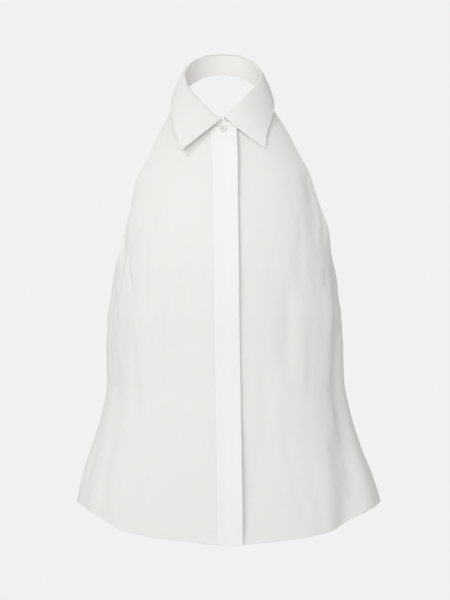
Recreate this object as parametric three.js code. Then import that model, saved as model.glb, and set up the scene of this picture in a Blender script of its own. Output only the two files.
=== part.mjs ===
// A sleeveless halter neck shirt in fine off-white cloth, worn by nobody: its hollow, worn form.
// Millimetres, +Z up, the front faces -Y, +X is the viewer's right from the front.
// The origin is the middle of the ring that the neck passes through.
import * as THREE from 'three';

// Cloth thicknesses
const panelThickness = 1.2;
const standThickness = 1.6;
const leafThickness = 1.4;
const placketThickness = 1.6;

// Clearances between pieces that meet
const seamGap = 0.3;
const seamHalfAngle = 0.1;
const standSeamGap = 1;
const leafSeamGap = 0.95;

// The neck ring: half width, front depth and back depth at the seam and at the roll line
const seamRing = { halfWidth: 62, front: 73, back: 58 };
const rollRing = { halfWidth: 53.8, front: 69.5, back: 54 };

// The front opening: the placket's half width, and how far the upper side is lifted off the lower
const placketHalfWidth = 17.5;
const underlapReach = 17;
const upperLift = 3.8;
const liftFade = 44;
const placketLift = 4.1;
const overlapReachAngle = 19;
const underlapReachAngle = 16;
const hemRow = 17;
const underarmRow = 9;
const neckCentreZ = -37;

// The torso's side seams run down at this angle from the centre front
const sideSeamAngle = 80;

// Buttons
const collarButton = { diameter: 10.5, thickness: 2.2, x: 0.7, z: -39, lift: 5.4 };
const flyButton = { diameter: 11, thickness: 1.6, lift: 1.15, firstZ: -117, pitch: 78.5, count: 6 };
const threadHole = { radius: 0.9, spread: 1.35 };

const degrees = Math.PI / 180;

function clamp01(value) {
  return Math.min(1, Math.max(0, value));
}

function smooth(value) {
  const share = clamp01(value);
  return share * share * (3 - 2 * share);
}

function mix(from, to, share) {
  return from + (to - from) * share;
}

// A smooth curve through the points that never overshoots between them
function curveThrough(keys, values) {
  const last = keys.length - 1;
  const slopes = keys.slice(1).map((key, i) => (values[i + 1] - values[i]) / (key - keys[i]));
  const tangents = keys.map((key, i) => {
    if (i === 0) return slopes[0];
    if (i === last) return slopes[last - 1];
    const before = slopes[i - 1];
    const after = slopes[i];
    return before * after <= 0 ? 0 : (2 * before * after) / (before + after);
  });
  return (key) => {
    const at = Math.min(keys[last], Math.max(keys[0], key));
    let i = 0;
    while (i < last - 1 && at > keys[i + 1]) i += 1;
    const span = keys[i + 1] - keys[i];
    const s = (at - keys[i]) / span;
    const rest = 1 - s;
    return values[i] * rest * rest * (1 + 2 * s) + tangents[i] * span * s * rest * rest
      + values[i + 1] * s * s * (3 - 2 * s) - tangents[i + 1] * span * s * s * rest;
  };
}

// One curve for each named column, over the first column
function columnCurves(names, rows) {
  const keys = rows.map((row) => row[0]);
  const result = {};
  names.slice(1).forEach((name, i) => {
    result[name] = curveThrough(keys, rows.map((row) => row[i + 1]));
  });
  return result;
}

// Heights round the neck by the angle from the centre front: the seam, and the stand's top on
// the viewer's right and on the viewer's left, which is the upper side and sits lower
const neck = columnCurves(['angle', 'seamZ', 'rightTopZ', 'leftTopZ'], [
  [0, -37, -28.7, -29],
  [10, -35.5, -20, -23.5],
  [22, -29, -9, -10.8],
  [35, -18.5, 3.5, 0.8],
  [53, -6.5, 18, 15.8],
  [70, 3, 30.5, 29.5],
  [80, 8, 38, 38],
  [90, 13, 45, 45],
  [102, 18.5, 51.5, 51.5],
  [117, 25, 60, 60],
  [128, 31, 66, 66],
  [140, 38, 71, 71],
  [158, 46.7, 77, 77],
  [180, 51, 79, 79],
]);

// The fronts above the underarm, a section for each row down from the neck seam.
// The edge columns place the armhole edge, and the edge angle is where it lies on the section.
const yoke = columnCurves(['row', 'centreY', 'edgeX', 'edgeY', 'edgeAngle', 'power'], [
  [0, -73, 62, 0, 90, 2],
  [1, -77.5, 76, -19, 78, 2.05],
  [2, -84.5, 92.5, -34, 70, 2.1],
  [3, -93, 107, -44, 65.5, 2.15],
  [4, -102, 125.5, -51, 63, 2.2],
  [5, -110, 136.5, -54, 62, 2.25],
  [6, -116.5, 148, -53, 64, 2.3],
  [7, -120, 152.5, -47, 68.5, 2.3],
  [8, -121, 158, -39, 74, 2.3],
  [9, -121, 162.8, -26.4, 80, 2.3],
  [10, -120, 168.7, -26.2, 80, 2.3],
]);

// Heights of each row at the centre front and at the panel's edge
const rowHeights = columnCurves(['row', 'centreZ', 'edgeZ'], [
  [0, -37, 13],
  [1, -50.5, -13],
  [2, -71, -43],
  [3, -95, -75],
  [4, -120, -108],
  [5, -150, -143],
  [6, -184, -180],
  [7, -216, -214],
  [8, -240, -241],
  [9, -257, -257],
  [10, -305, -304],
  [11, -355, -350],
  [12, -405, -396],
  [13, -455, -441],
  [14, -505, -484],
  [15, -552, -523],
  [16, -594, -553],
  [17, -624.5, -573],
]);

// The body's section by height, as depth below the neck's centre
const torsoPower = 2.3;
const torso = columnCurves(['depth', 'halfWidth', 'front', 'back'], [
  [200, 147, 118.5, 86],
  [224, 156.6, 120, 87],
  [257, 165, 121, 88],
  [282, 168, 120.6, 87],
  [305, 171, 120, 86],
  [350, 170.5, 117, 82],
  [398, 171, 116, 82],
  [444, 179, 117.5, 84],
  [490, 193, 119, 87.5],
  [537, 210, 121, 92],
  [573, 219, 122, 94.5],
  [630, 229, 124, 98],
]);

// The body leans a little to the viewer's right on its way down, and the closure drifts further
const { lean, drift } = columnCurves(['depth', 'lean', 'drift'], [
  [0, 0, 0],
  [74, 2.8, 0.8],
  [110, 3.6, 0.9],
  [226, 3.7, 2.4],
  [308, 3.7, 3],
  [350, 3.8, 3.5],
  [430, 5.6, 3.2],
  [490, 5.6, 4.2],
  [573, 8.7, 2.6],
  [630, 10, 1.5],
]);

// The back panel's top edge and hem by angle from the centre front
const backEdges = columnCurves(['angle', 'topZ', 'hemZ'], [
  [80, -257, -573],
  [83, -245, -573.5],
  [87, -225, -574],
  [92, -211, -575.5],
  [100, -203, -580],
  [120, -200, -597],
  [150, -203, -613],
  [180, -205, -618],
]);

// Soft folds, as troughs that run down the cloth, or as a ridge where the depth is negative.
// Angles from the centre front, minus is the viewer's left. An open fold runs out through the hem.
const foldColumns = ['topZ', 'bottomZ', 'topAngle', 'middleAngle', 'bottomAngle', 'width', 'depth', 'open'];
const folds = [
  // The side seams lie in a valley under the arms
  [-205, -345, -80, -80, -80, 9, 10, 0],
  [-205, -345, 80, 80, 80, 9, 14, 0],
  // The armhole edges and the trough beside the right one
  [-110, -262, -63, -63, -66, 5, 7, 0],
  [-80, -215, 60, 53, 47, 7, 4.5, 0],
  // The flanks, where the cloth swings out to the hem
  [-262, -640, 73, 65.5, 45, 8.5, 10.5, 1],
  [-320, -640, -69, -59, -48, 7, 3, 1],
  [-225, -430, 58, 59, 60, 7, -3, 0],
  [-455, -640, -72, -70, -68, 6, 2.5, 1],
  // Faint creases on the fronts
  [-250, -435, -30, -29, -28, 3, 2.5, 0],
  [-215, -395, -15, -15, -15, 4, 1.5, 0],
  [-235, -410, 28.6, 28.6, 28, 5, 2.5, 0],
  [-330, -570, 15, 15, 15, 4, 1.5, 0],
  // Flutes on the back
  [-330, -650, -112, -110, -106, 8, 6, 1],
  [-360, -650, -137, -136, -133, 9, 5, 1],
  [-300, -650, -163, -161, -160, 8, 6.5, 1],
  [-350, -650, 176, 178, 180, 9, 5, 1],
  [-310, -650, 154, 152, 149, 8, 6, 1],
  [-370, -650, 130, 130, 127, 9, 5.5, 1],
  [-330, -650, 107, 108, 104, 7, 6, 1],
].map((row) => Object.fromEntries(foldColumns.map((name, i) => [name, row[i]])));

const foldTaper = 0.32;

function foldDepth(angle, z) {
  let total = 0;
  for (const fold of folds) {
    const s = (fold.topZ - z) / (fold.topZ - fold.bottomZ);
    if (s <= 0 || s >= 1) continue;
    const upper = mix(fold.topAngle, fold.middleAngle, clamp01(2 * s));
    const path = mix(upper, fold.bottomAngle, clamp01(2 * s - 1));
    const away = ((angle - path + 540) % 360) - 180;
    const fade = smooth(s / foldTaper) * (fold.open ? 1 : smooth((1 - s) / foldTaper));
    total += fold.depth * fade * Math.exp(-((away / fold.width) ** 2));
  }
  return total;
}

// A point on a section, a flattened ellipse. It is pushed in along its level normal by the folds
// there, and out by the lift of an upper layer.
function sectionPoint(angle, z, section, lift = 0) {
  const { halfWidth, front, back, centreY, power } = section;
  const sine = Math.sin(angle * degrees);
  const cosine = Math.cos(angle * degrees);
  const depth = cosine >= 0 ? front : back;
  const x = halfWidth * Math.sign(sine) * Math.abs(sine) ** (2 / power);
  const y = -depth * Math.sign(cosine) * Math.abs(cosine) ** (2 / power);
  const across = (Math.sign(x) * Math.abs(x / halfWidth) ** (power - 1)) / halfWidth;
  const outward = (Math.sign(y) * Math.abs(y / depth) ** (power - 1)) / depth;
  const push = (lift - foldDepth(angle, z)) / Math.hypot(across, outward);
  return new THREE.Vector3(x + across * push + lean(-z), centreY + y + outward * push, z);
}

function torsoPoint(angle, z, lift = 0) {
  const section = {
    halfWidth: torso.halfWidth(-z),
    front: torso.front(-z),
    back: torso.back(-z),
    centreY: 0,
    power: torsoPower,
  };
  return sectionPoint(angle, z, section, lift);
}

// The fronts' section at a row of the yoke, worked out from its armhole edge
function yokeSection(row) {
  const at = Math.min(row, underarmRow);
  const power = yoke.power(at);
  const edge = yoke.edgeAngle(at) * degrees;
  const halfWidth = yoke.edgeX(at) / Math.sin(edge) ** (2 / power);
  const front = (yoke.edgeY(at) - yoke.centreY(at)) / (1 - Math.abs(Math.cos(edge)) ** (2 / power));
  return { halfWidth, front, back: front, centreY: yoke.centreY(at) + front, power };
}

// How the hem rises from the centre front to the side seam
const hemRise = columnCurves(['share', 'rise'], [
  [0, 0],
  [0.2, 0.12],
  [0.43, 0.3],
  [0.55, 0.47],
  [0.66, 0.65],
  [0.79, 0.84],
  [1, 1],
]).rise;

// Rows near the neck rise to the side as the neck seam does, the lowest as the hem does
const neckRiseRows = 5;

function rowHeight(row, share) {
  const centre = rowHeights.centreZ(row);
  const edge = rowHeights.edgeZ(row);
  const seamRise = (neck.seamZ(90 * share) - neck.seamZ(0)) / (neck.seamZ(90) - neck.seamZ(0));
  const upper = mix(smooth(share), seamRise, clamp01(1 - row / neckRiseRows));
  const lower = clamp01((row - underarmRow) / (hemRow - underarmRow));
  return mix(centre, edge, mix(upper, hemRise(share), lower));
}

function edgeAngleAt(row) {
  return yoke.edgeAngle(Math.min(row, underarmRow));
}

function frontPoint(angle, row, lift = 0) {
  const z = rowHeight(row, clamp01(Math.abs(angle) / edgeAngleAt(row)));
  if (row >= underarmRow) return torsoPoint(angle, z, lift);
  return sectionPoint(angle, z, yokeSection(row), lift);
}

// The angle at which a row is a given distance to the side of the closure's middle
function angleAcross(x, row) {
  const depth = -rowHeights.centreZ(row);
  const wide = row < underarmRow
    ? yokeSection(row)
    : { halfWidth: torso.halfWidth(depth), power: torsoPower };
  const away = x + drift(depth) - drift(-neckCentreZ);
  return (Math.sign(away) * Math.asin(Math.abs(away / wide.halfWidth) ** (wide.power / 2))) / degrees;
}

// The row at which a line down the front, at a distance x, is as low as the neck at the centre
function levelRow(x) {
  let low = 0;
  let high = 2;
  for (let step = 0; step < 40; step += 1) {
    const middle = (low + high) / 2;
    const share = Math.abs(angleAcross(x, middle)) / edgeAngleAt(middle);
    if (rowHeight(middle, share) > neckCentreZ) low = middle;
    else high = middle;
  }
  return low;
}

// Walls: a middle surface with a closed skin, half the thickness to each side of it.
// surface(across, down) takes shares from 0 to 1 and gives a point.
function wallGeometry(surface, acrossShares, downShares, thickness) {
  const columns = acrossShares.length;
  const rows = downShares.length;
  const positions = [];
  const small = 1e-4;
  const sides = [thickness / 2, -thickness / 2];
  for (const side of sides) {
    for (const down of downShares) {
      for (const across of acrossShares) {
        const alongA = surface(across + small, down).sub(surface(across - small, down));
        const alongD = surface(across, down + small).sub(surface(across, down - small));
        const normal = alongD.cross(alongA).normalize();
        const point = surface(across, down).addScaledVector(normal, side);
        positions.push(point.x, point.y, point.z);
      }
    }
  }
  const index = (layer, row, column) => layer * rows * columns + row * columns + column;
  const faces = [];
  const quad = (a, b, c, d) => faces.push(a, b, c, a, c, d);
  for (let row = 0; row < rows - 1; row += 1) {
    for (let column = 0; column < columns - 1; column += 1) {
      quad(index(0, row, column), index(0, row + 1, column),
        index(0, row + 1, column + 1), index(0, row, column + 1));
      quad(index(1, row, column), index(1, row, column + 1),
        index(1, row + 1, column + 1), index(1, row + 1, column));
    }
  }
  for (let column = 0; column < columns - 1; column += 1) {
    const bottom = rows - 1;
    quad(index(0, 0, column), index(0, 0, column + 1), index(1, 0, column + 1), index(1, 0, column));
    quad(index(0, bottom, column), index(1, bottom, column),
      index(1, bottom, column + 1), index(0, bottom, column + 1));
  }
  for (let row = 0; row < rows - 1; row += 1) {
    const end = columns - 1;
    quad(index(0, row, 0), index(1, row, 0), index(1, row + 1, 0), index(0, row + 1, 0));
    quad(index(0, row, end), index(0, row + 1, end), index(1, row + 1, end), index(1, row, end));
  }
  const geometry = new THREE.BufferGeometry();
  geometry.setAttribute('position', new THREE.Float32BufferAttribute(positions, 3));
  geometry.setIndex(faces);
  geometry.computeVertexNormals();
  return geometry;
}

function evenShares(count) {
  return Array.from({ length: count + 1 }, (_, i) => i / count);
}

// Shares that crowd towards both ends
function crowdedShares(count, crowding) {
  return evenShares(count).map((s) => s - (crowding * Math.sin(2 * Math.PI * s)) / (2 * Math.PI));
}

function clothMaterial() {
  return new THREE.MeshStandardMaterial({ color: 0xf4f2ee, roughness: 0.85, metalness: 0 });
}

function buttonMaterial() {
  return new THREE.MeshStandardMaterial({ color: 0xece9e2, roughness: 0.35, metalness: 0 });
}

function namedMesh(name, geometry, material) {
  const mesh = new THREE.Mesh(geometry, material);
  mesh.name = name;
  return mesh;
}

// The front panels

const frontRowShares = evenShares(28).map((s) => s - (0.25 * Math.sin(Math.PI * s)) / Math.PI);
const lapShare = 0.2;

// The upper side is lifted beside the placket and sinks back to the neck's side
function liftAt(x) {
  return upperLift * (1 - smooth((-x - placketHalfWidth) / liftFade));
}

// Under the placket the columns stay upright, then they fan out to the armhole or side seam
function leftFrontSurface(across, down) {
  const x = across < lapShare
    ? mix(-underlapReach, placketHalfWidth, across / lapShare)
    : placketHalfWidth;
  const top = x < 0 ? levelRow(x) : 0;
  const row = mix(top, hemRow, down);
  const inner = angleAcross(x, row);
  const outer = edgeAngleAt(row) - seamHalfAngle;
  const share = Math.max(0, (across - lapShare) / (1 - lapShare));
  return frontPoint(mix(inner, outer, share), row);
}

function rightFrontSurface(across, down) {
  const row = mix(0, hemRow, down);
  const inner = angleAcross(-placketHalfWidth - seamGap / 2, row);
  const outer = -edgeAngleAt(row) + seamHalfAngle;
  const angle = mix(outer, inner, across);
  const level = frontPoint(angle, row);
  return frontPoint(angle, row, liftAt(level.x - lean(-level.z)));
}

function frontLeft() {
  const lap = evenShares(7).map((s) => s * lapShare);
  const fan = evenShares(15).slice(1).map((s) => mix(lapShare, 1, s));
  return wallGeometry(leftFrontSurface, [...lap, ...fan], frontRowShares, panelThickness);
}

function frontRight() {
  return wallGeometry(rightFrontSurface, evenShares(17), frontRowShares, panelThickness);
}

// The placket lies over the lower front, made from its points and moved out
function placketSurface(across, down) {
  const x = mix(-placketHalfWidth + seamGap / 2, placketHalfWidth, across);
  const top = x > 0 ? levelRow(x) : 0;
  const row = mix(top, hemRow, down);
  return frontPoint(angleAcross(x, row), row, placketLift);
}

function placket() {
  return wallGeometry(placketSurface, evenShares(6), frontRowShares, placketThickness);
}

// The back panel, from side seam to side seam round the back

function backSurface(across, down) {
  const angle = mix(sideSeamAngle + seamHalfAngle, 360 - sideSeamAngle - seamHalfAngle, across);
  const folded = 180 - Math.abs(angle - 180);
  const z = mix(backEdges.topZ(folded), backEdges.hemZ(folded), down);
  return torsoPoint(angle > 180 ? angle - 360 : angle, z);
}

function back() {
  return wallGeometry(backSurface, crowdedShares(32, 0.55), evenShares(20), panelThickness);
}

// The collar stand, wound from its under end round the back to its buttoned end

function ringPoint(ring, angle, z, lift = 0) {
  const sine = Math.sin(angle * degrees);
  const cosine = Math.cos(angle * degrees);
  const depth = cosine >= 0 ? ring.front : ring.back;
  const outward = new THREE.Vector3(sine / ring.halfWidth, -cosine / depth, 0).normalize();
  const point = new THREE.Vector3(ring.halfWidth * sine + lean(-z), -depth * cosine, z);
  return point.addScaledVector(outward, lift);
}

function foldedAngle(angle) {
  return Math.abs(((angle + 180 + 360) % 360) - 180);
}

// Half of the angles round the collar, crowded towards the front, and all of them
const halfAngles = evenShares(26).map((s) => 180 * (s - (0.45 * Math.sin(Math.PI * s)) / Math.PI));
const collarAngles = [...halfAngles, ...halfAngles.slice(0, -1).reverse().map((angle) => 360 - angle)];

// Beyond the centre front the stand's ends run level, and the upper end's corner is rounded off
const standStart = -underlapReachAngle;
const standEnd = 360 + overlapReachAngle;
const cornerDrop = 3;

function standLift(angle) {
  if (angle < 270) return 0;
  return liftAt(angle > 360 ? 0 : seamRing.halfWidth * Math.sin(angle * degrees));
}

// The seam runs on the fronts' top edges, and past the centre front level over the panel below
function seamPoint(angle) {
  const lift = standLift(angle);
  const beyond = Math.max(0, -angle, angle - 360);
  if (beyond > 0) {
    const x = Math.sign(angle) * seamRing.halfWidth * Math.sin(beyond * degrees);
    const row = levelRow(x);
    return frontPoint(angleAcross(x, row), row, lift);
  }
  return ringPoint(seamRing, angle, neck.seamZ(foldedAngle(angle)), lift);
}

// The upper side's top is lower, on the slope of the side under it
function standTop(angle) {
  const beyond = Math.max(0, -angle, angle - 360);
  const folded = foldedAngle(angle);
  const full = angle < 0 ? neck.rightTopZ(0) : neck.rightTopZ(folded);
  const top = ringPoint(rollRing, angle, full, standLift(angle));
  if (angle <= 180) return top;
  const rounding = cornerDrop * (beyond / overlapReachAngle) ** 2;
  const height = neck.leftTopZ(beyond > 0 ? 0 : folded) - rounding;
  const seam = ringPoint(seamRing, angle, neck.seamZ(folded), standLift(angle));
  return top.lerp(seam, (full - height) / (full - seam.z));
}

function standPoint(angle, down) {
  const seam = seamPoint(angle);
  seam.z += standSeamGap;
  return standTop(angle).lerp(seam, down);
}

function stand() {
  const angles = [-underlapReachAngle, -underlapReachAngle / 2, ...collarAngles,
    360 + overlapReachAngle / 3, 360 + (2 * overlapReachAngle) / 3, standEnd];
  const shares = angles.map((angle) => (angle - standStart) / (standEnd - standStart));
  const surface = (across, down) => standPoint(mix(standStart, standEnd, across), down);
  return wallGeometry(surface, shares, evenShares(3), standThickness);
}

// The collar leaf, rolled over the stand's top and falling to its outer edge and two points.
// By angle from the centre front: where the outer edge lies, how far the leaf bellies out and
// sags between roll and edge, and the radius of the roll.
const leafColumns = ['angle', 'x', 'y', 'z', 'belly', 'sag', 'roll'];
const leafBack = [
  [90, 74, 5, 9, 2, 0, 2],
  [112, 66, 30, 22, 1.2, 0, 1.6],
  [135, 50, 49, 37, 0.8, 0, 1.4],
  [158, 28, 60, 48, 0.8, 0, 1.4],
  [180, 0, 63.5, 53.5, 0.8, 0, 1.4],
];
const rightEdge = columnCurves(leafColumns, [
  [0, 61, -79, -69.5, -2.5, 5, 4.3],
  [15, 62.6, -72, -50, -2, 2.5, 4.1],
  [32, 68, -57.5, -32, 0.5, 0, 3.2],
  [50, 73, -39, -13, 2, 0, 2.6],
  [68, 74.5, -21, 0, 3, 0, 2.3],
  ...leafBack,
]);
const leftEdge = columnCurves(leafColumns, [
  [0, 57.5, -95, -73, 1, 1, 2.9],
  [15, 63.5, -88, -54, 2, 0.5, 2.9],
  [32, 69.5, -72, -34, 3.5, 0, 2.8],
  [50, 73, -48, -15, 3.5, 0, 2.6],
  [68, 75, -22, -2, 3, 0, 2.3],
  ...leafBack,
]);

const leafEndAngle = 1.5;
const rollShare = 0.12;
const quarterTurn = Math.PI / 2;

function leafPoint(angle, down) {
  const folded = foldedAngle(angle);
  const side = angle <= 180 ? 1 : -1;
  const edge = angle <= 180 ? rightEdge : leftEdge;
  const start = standTop(angle);
  const z = start.z;
  const outward = ringPoint(rollRing, angle, z, 1).sub(ringPoint(rollRing, angle, z));
  start.z += leafSeamGap;
  const turn = quarterTurn * clamp01(down / rollShare);
  const radius = edge.roll(folded);
  const roll = start.clone().addScaledVector(outward, radius * (1 - Math.cos(turn)));
  roll.z += radius * Math.sin(turn);
  if (down <= rollShare) return roll;
  const end = new THREE.Vector3(side * edge.x(folded), edge.y(folded), edge.z(folded));
  const s = (down - rollShare) / (1 - rollShare);
  const shoulder = roll.clone().addScaledVector(outward, radius * 1.3);
  const belly = roll.clone().lerp(end, 0.5).addScaledVector(outward, edge.belly(folded) + radius);
  belly.z -= edge.sag(folded);
  const rest = 1 - s;
  return roll.multiplyScalar(rest ** 3)
    .addScaledVector(shoulder, 3 * rest * rest * s)
    .addScaledVector(belly, 3 * rest * s * s)
    .addScaledVector(end, s ** 3);
}

function leaf() {
  const leafLast = 360 - leafEndAngle;
  const angles = [leafEndAngle, ...collarAngles.slice(1, -1), leafLast];
  const shares = angles.map((angle) => (angle - leafEndAngle) / (leafLast - leafEndAngle));
  const surface = (across, down) => leafPoint(mix(leafEndAngle, leafLast, across), down);
  const rolled = [0, rollShare * 0.33, rollShare * 0.67, rollShare];
  const fallen = evenShares(6).slice(1).map((s) => mix(rollShare, 1, s));
  return wallGeometry(surface, shares, [...rolled, ...fallen], leafThickness);
}

// Buttons: a rimmed disc with four thread holes at the neck, plain discs inside the fly

function outlineCircle(shape, x, y, radius) {
  shape.absarc(x, y, radius, 0, 2 * Math.PI, false);
  return shape;
}

function collarButtonGeometry() {
  const { diameter, thickness } = collarButton;
  const shape = outlineCircle(new THREE.Shape(), 0, 0, diameter / 2);
  for (const across of [-1, 1]) {
    for (const up of [-1, 1]) {
      const { radius, spread } = threadHole;
      shape.holes.push(outlineCircle(new THREE.Path(), across * spread, up * spread, radius));
    }
  }
  const settings = { depth: thickness, bevelEnabled: false, curveSegments: 12 };
  return new THREE.ExtrudeGeometry(shape, settings).rotateX(quarterTurn);
}

function flyButtonGeometry() {
  const radius = flyButton.diameter / 2;
  const edge = 0.5;
  const height = flyButton.thickness;
  const profile = [
    [0, 0],
    [radius - edge, 0],
    [radius, edge],
    [radius, height - edge],
    [radius - edge, height],
    [0, height],
  ].map(([x, y]) => new THREE.Vector2(x, y));
  return new THREE.LatheGeometry(profile, 20).rotateX(Math.PI);
}

// Stands a button on the surface under it, with its face along the surface's normal
function seatButton(mesh, x, z, lift) {
  let low = 0;
  let high = hemRow;
  for (let step = 0; step < 40; step += 1) {
    const middle = (low + high) / 2;
    if (frontPoint(angleAcross(x, middle), middle).z > z) low = middle;
    else high = middle;
  }
  const angle = angleAcross(x, low);
  const small = 0.01;
  const down = frontPoint(angle, low + small).sub(frontPoint(angle, low));
  const across = frontPoint(angle + small, low).sub(frontPoint(angle, low));
  const normal = down.cross(across).normalize();
  mesh.position.copy(frontPoint(angle, low)).addScaledVector(normal, lift);
  mesh.rotation.x = Math.asin(-normal.z);
  return mesh;
}

function seatCollarButton(mesh) {
  const { x, z, lift } = collarButton;
  const high = standTop(0);
  const low = seamPoint(0);
  const point = high.clone().lerp(low, (high.z - z) / (high.z - low.z));
  mesh.position.set(x, point.y - lift, z);
  mesh.rotation.x = -Math.atan2(high.y - low.y, high.z - low.z);
  return mesh;
}

const top = new THREE.Group();
top.add(namedMesh('front_right', frontRight(), clothMaterial()));
top.add(namedMesh('front_left', frontLeft(), clothMaterial()));
top.add(namedMesh('back', back(), clothMaterial()));
top.add(namedMesh('placket', placket(), clothMaterial()));
top.add(namedMesh('collar_stand', stand(), clothMaterial()));
top.add(namedMesh('collar_leaf', leaf(), clothMaterial()));
top.add(seatCollarButton(namedMesh('collar_button', collarButtonGeometry(), buttonMaterial())));
for (let i = 0; i < flyButton.count; i += 1) {
  const button = namedMesh(`fly_button_${i + 1}`, flyButtonGeometry(), buttonMaterial());
  top.add(seatButton(button, 0, flyButton.firstZ - i * flyButton.pitch, flyButton.lift));
}

export default top;
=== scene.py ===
# %% [markdown]
# # A halter neck shirt, dressed over its fixed frame
# The frame holds the plain solids of the garment: two front panels, a low back, a placket,
# a collar stand with its leaf, and seven buttons. Each of them gets a finer piece here, made in
# the same place, so the looks never drift away from the solids. Lengths are worked out in
# millimetres, as a pattern cutter does, and turned into metres when a mesh is made.

# %% Load the frame
import math

import bpy
import numpy as np
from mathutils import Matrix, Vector


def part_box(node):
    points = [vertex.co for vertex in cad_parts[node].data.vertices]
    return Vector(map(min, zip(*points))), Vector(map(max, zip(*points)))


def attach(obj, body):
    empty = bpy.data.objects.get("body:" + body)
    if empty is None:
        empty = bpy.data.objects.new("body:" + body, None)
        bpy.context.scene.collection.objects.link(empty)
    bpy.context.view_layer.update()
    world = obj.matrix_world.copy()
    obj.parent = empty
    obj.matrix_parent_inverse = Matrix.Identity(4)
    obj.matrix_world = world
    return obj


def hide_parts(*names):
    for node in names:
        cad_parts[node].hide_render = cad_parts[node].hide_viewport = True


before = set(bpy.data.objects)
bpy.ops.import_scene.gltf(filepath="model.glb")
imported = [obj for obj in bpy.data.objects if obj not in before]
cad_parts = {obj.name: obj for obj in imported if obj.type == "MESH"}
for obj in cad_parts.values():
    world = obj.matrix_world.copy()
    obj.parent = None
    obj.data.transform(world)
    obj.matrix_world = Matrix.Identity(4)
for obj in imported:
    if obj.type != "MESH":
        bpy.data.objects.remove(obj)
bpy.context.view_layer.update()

# %% [markdown]
# ## Curves through tables
# A garment's outline is given by a few measured places and is smooth between them. A spline could
# overshoot and make bumps that nobody cut, so the curve used here keeps to its points: its slope
# at each point is the harmonic mean of the slopes on both sides.

# %% Small sums and curves


def clamp01(value):
    return np.clip(value, 0, 1)


def smooth(value):
    share = clamp01(value)
    return share * share * (3 - 2 * share)


def mix(start, end, share):
    return start + (end - start) * share


def curve_through(keys, values):
    keys, values = np.array(keys, float), np.array(values, float)
    slopes = np.diff(values) / np.diff(keys)
    before, after = slopes[:-1], slopes[1:]
    total = np.where(before + after == 0, 1, before + after)
    inner = np.where(before * after <= 0, 0, 2 * before * after / total)
    tangents = np.concatenate([slopes[:1], inner, slopes[-1:]])

    def at(key):
        key = np.clip(key, keys[0], keys[-1])
        i = np.clip(np.searchsorted(keys, key) - 1, 0, len(keys) - 2)
        span = keys[i + 1] - keys[i]
        s = (key - keys[i]) / span
        rest = 1 - s
        return (
            values[i] * rest * rest * (1 + 2 * s)
            + tangents[i] * span * s * rest * rest
            + values[i + 1] * s * s * (3 - 2 * s)
            - tangents[i + 1] * span * s * s * rest
        )

    return at


def column_curves(names, rows):
    keys = [row[0] for row in rows]
    columns = names.split()[1:]
    return {name: curve_through(keys, [row[i + 1] for row in rows]) for i, name in enumerate(columns)}


# %% [markdown]
# ## The garment's measures
# These are the same tables as in the solids: heights round the neck, the section of the fronts
# above the arms, the body's section below them, and the edges of the back. Angles go round the
# body from the centre front, and minus is the viewer's left.

# %% Measures of the neck, the fronts and the body
SEAM_RING = (62, 73, 58)
ROLL_RING = (53.8, 69.5, 54)
PLACKET_HALF = 17.5
UNDERLAP = 17
NECK_CENTRE_Z = -37
UNDERARM_ROW = 9
HEM_ROW = 17
SIDE_SEAM_ANGLE = 80
TORSO_POWER = 2.3

neck = column_curves("angle seam right left", [
    (0, -37, -28.7, -29), (10, -35.5, -20, -23.5), (22, -29, -9, -10.8), (35, -18.5, 3.5, 0.8),
    (53, -6.5, 18, 15.8), (70, 3, 30.5, 29.5), (80, 8, 38, 38), (90, 13, 45, 45),
    (102, 18.5, 51.5, 51.5), (117, 25, 60, 60), (128, 31, 66, 66), (140, 38, 71, 71),
    (158, 46.7, 77, 77), (180, 51, 79, 79),
])
yoke = column_curves("row centre_y edge_x edge_y edge_angle power", [
    (0, -73, 62, 0, 90, 2), (1, -77.5, 76, -19, 78, 2.05), (2, -84.5, 92.5, -34, 70, 2.1),
    (3, -93, 107, -44, 65.5, 2.15), (4, -102, 125.5, -51, 63, 2.2), (5, -110, 136.5, -54, 62, 2.25),
    (6, -116.5, 148, -53, 64, 2.3), (7, -120, 152.5, -47, 68.5, 2.3), (8, -121, 158, -39, 74, 2.3),
    (9, -121, 162.8, -26.4, 80, 2.3), (10, -120, 168.7, -26.2, 80, 2.3),
])
row_heights = column_curves("row centre edge", [
    (0, -37, 13), (1, -50.5, -13), (2, -71, -43), (3, -95, -75), (4, -120, -108), (5, -150, -143),
    (6, -184, -180), (7, -216, -214), (8, -240, -241), (9, -257, -257), (10, -305, -304),
    (11, -355, -350), (12, -405, -396), (13, -455, -441), (14, -505, -484), (15, -552, -523),
    (16, -594, -553), (17, -624.5, -573),
])
torso = column_curves("depth half_width front back", [
    (200, 147, 118.5, 86), (224, 156.6, 120, 87), (257, 165, 121, 88), (282, 168, 120.6, 87),
    (305, 171, 120, 86), (350, 170.5, 117, 82), (398, 171, 116, 82), (444, 179, 117.5, 84),
    (490, 193, 119, 87.5), (537, 210, 121, 92), (573, 219, 122, 94.5), (630, 229, 124, 98),
])
sway = column_curves("depth lean drift", [
    (0, 0, 0), (74, 2.8, 0.8), (110, 3.6, 0.9), (226, 3.7, 2.4), (308, 3.7, 3), (350, 3.8, 3.5),
    (430, 5.6, 3.2), (490, 5.6, 4.2), (573, 8.7, 2.6), (630, 10, 1.5),
])
back_edges = column_curves("angle top hem", [
    (80, -257, -573), (83, -245, -573.5), (87, -225, -574), (92, -211, -575.5), (100, -203, -580),
    (120, -200, -597), (150, -203, -613), (180, -205, -618),
])
hem_rise = curve_through([0, 0.2, 0.43, 0.55, 0.66, 0.79, 1], [0, 0.12, 0.3, 0.47, 0.65, 0.84, 1])
print("neck seam from", neck["seam"](0), "mm at the front to", neck["seam"](180), "mm at the back")

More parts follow.
